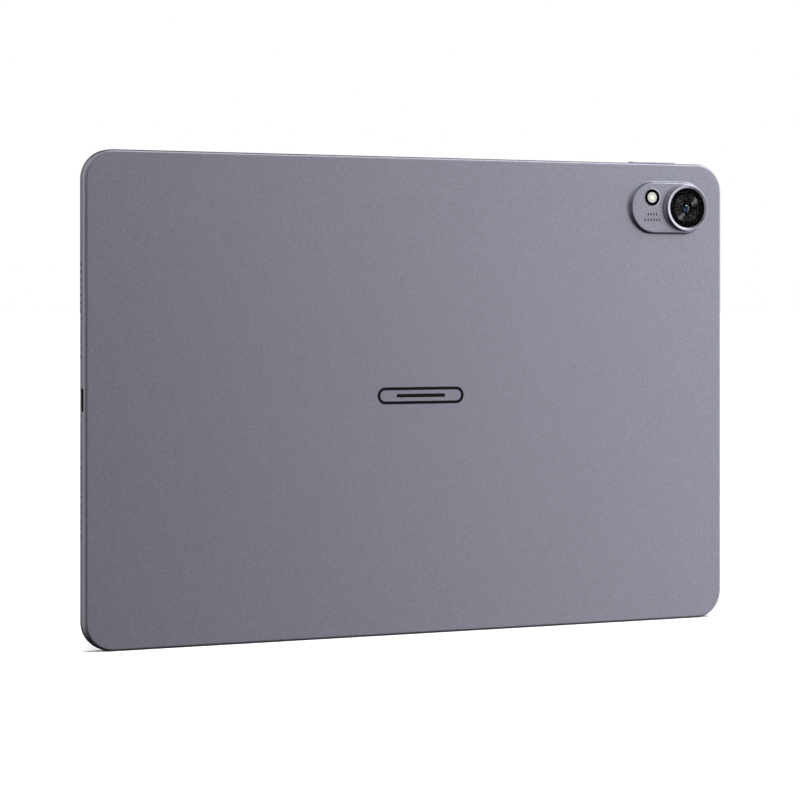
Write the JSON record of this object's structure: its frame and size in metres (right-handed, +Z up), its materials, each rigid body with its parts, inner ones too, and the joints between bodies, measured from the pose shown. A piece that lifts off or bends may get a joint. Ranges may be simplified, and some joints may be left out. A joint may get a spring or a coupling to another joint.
{
  "type": "tablet computer",
  "caption": "Slim metal-backed tablet computer with a full-face glass screen, a raised rear camera with flash, a volume rocker, a power key, a charging socket and edge speakers.",
  "frame": {"origin": "middle of the long bottom edge's flat outer face, where the tablet stands on that edge", "axes": "+X along the long edges towards the short edge with the charging socket, +Y out of the rear face, -Y out of the screen, +Z up along the short edges"},
  "size_m": [0.2615, 0.0096, 0.1778],
  "materials": {
    "cover_metal": "satin",
    "ring_metal": "polished",
    "key_metal": "satin",
    "emblem_gloss": "polished",
    "frame_plastic": "matte",
    "screen_glass": "gloss",
    "lens_window": "gloss",
    "lcd": "gloss",
    "light_guide": "gloss",
    "steel": "satin",
    "black_plastic": "matte",
    "cone_metal": "satin",
    "optic_glass": "gloss",
    "diffuser": "gloss",
    "phosphor": "matte",
    "circuit_board": "satin",
    "ribbon": "satin",
    "chip_black": "matte",
    "microphone_metal": "satin",
    "cell_foil": "satin",
    "tape_white": "matte",
    "graphite": "satin"
  },
  "bodies": {
    "chassis": {"rear_cover": "cover_metal", "display_frame": "frame_plastic", "display_tape": "black_plastic", "display_glass": "screen_glass", "lcd_panel": "lcd", "backlight_unit": "light_guide", "backlight_tray": "steel", "display_flex": "ribbon", "emblem": "emblem_gloss", "camera_island": "cover_metal", "lens_ring": "ring_metal", "lens_glass": "lens_window", "lens_mask": "black_plastic", "lens_cone": "cone_metal", "camera_module": "black_plastic", "camera_sensor_board": "circuit_board", "camera_bracket": "steel", "camera_flex": "ribbon", "flash_ring": "black_plastic", "flash_lens": "diffuser", "flash_led": "phosphor", "flash_board": "circuit_board", "front_camera": "black_plastic", "light_sensor": "chip_black", "volume_switch_board": "ribbon", "power_switch_board": "ribbon", "tact_switches": "steel", "speaker_box_port_upper": "black_plastic", "speaker_box_port_lower": "black_plastic", "speaker_box_key_upper": "black_plastic", "speaker_box_key_lower": "black_plastic", "speaker_driver_port_upper": "steel", "speaker_driver_port_lower": "steel", "speaker_driver_key_upper": "steel", "speaker_driver_key_lower": "steel", "speaker_mesh_port_upper": "black_plastic", "speaker_mesh_port_lower": "black_plastic", "speaker_mesh_key_upper": "black_plastic", "speaker_mesh_key_lower": "black_plastic", "microphone_left": "microphone_metal", "microphone_right": "microphone_metal", "usb_shell": "steel", "usb_tongue": "black_plastic", "usb_board": "circuit_board", "usb_flex": "ribbon", "battery_cell_left": "cell_foil", "battery_cell_right": "cell_foil", "battery_board": "circuit_board", "battery_tapes": "tape_white", "mainboard": "circuit_board", "board_chips": "chip_black", "shield_cans": "steel", "thermal_sheet": "graphite", "antenna_left": "black_plastic", "antenna_right": "black_plastic", "screws": "steel"},
    "volume_rocker": {"volume_key": "key_metal"},
    "power_button": {"power_key": "key_metal"},
    "focus_barrel": {"lens_barrel": "black_plastic", "front_lens": "optic_glass"}
  },
  "joints": [
    {"name": "volume_rock", "type": "hinge", "parent": "chassis", "child": "volume_rocker", "pos_m": [-0.1007, 0, 0.17505], "axis": [0, 1, 0], "range_deg": [-1.4, 1.4], "stiffness_Nm_per_rad": 0.5},
    {"name": "power_press", "type": "slide", "parent": "chassis", "child": "power_button", "axis": [1, 0, 0], "range_m": [0, 0.00025], "stiffness_N_per_m": 5000},
    {"name": "autofocus", "type": "slide", "parent": "chassis", "child": "focus_barrel", "axis": [0, 1, 0], "range_m": [0, 0.0002], "stiffness_N_per_m": 60}
  ]
}
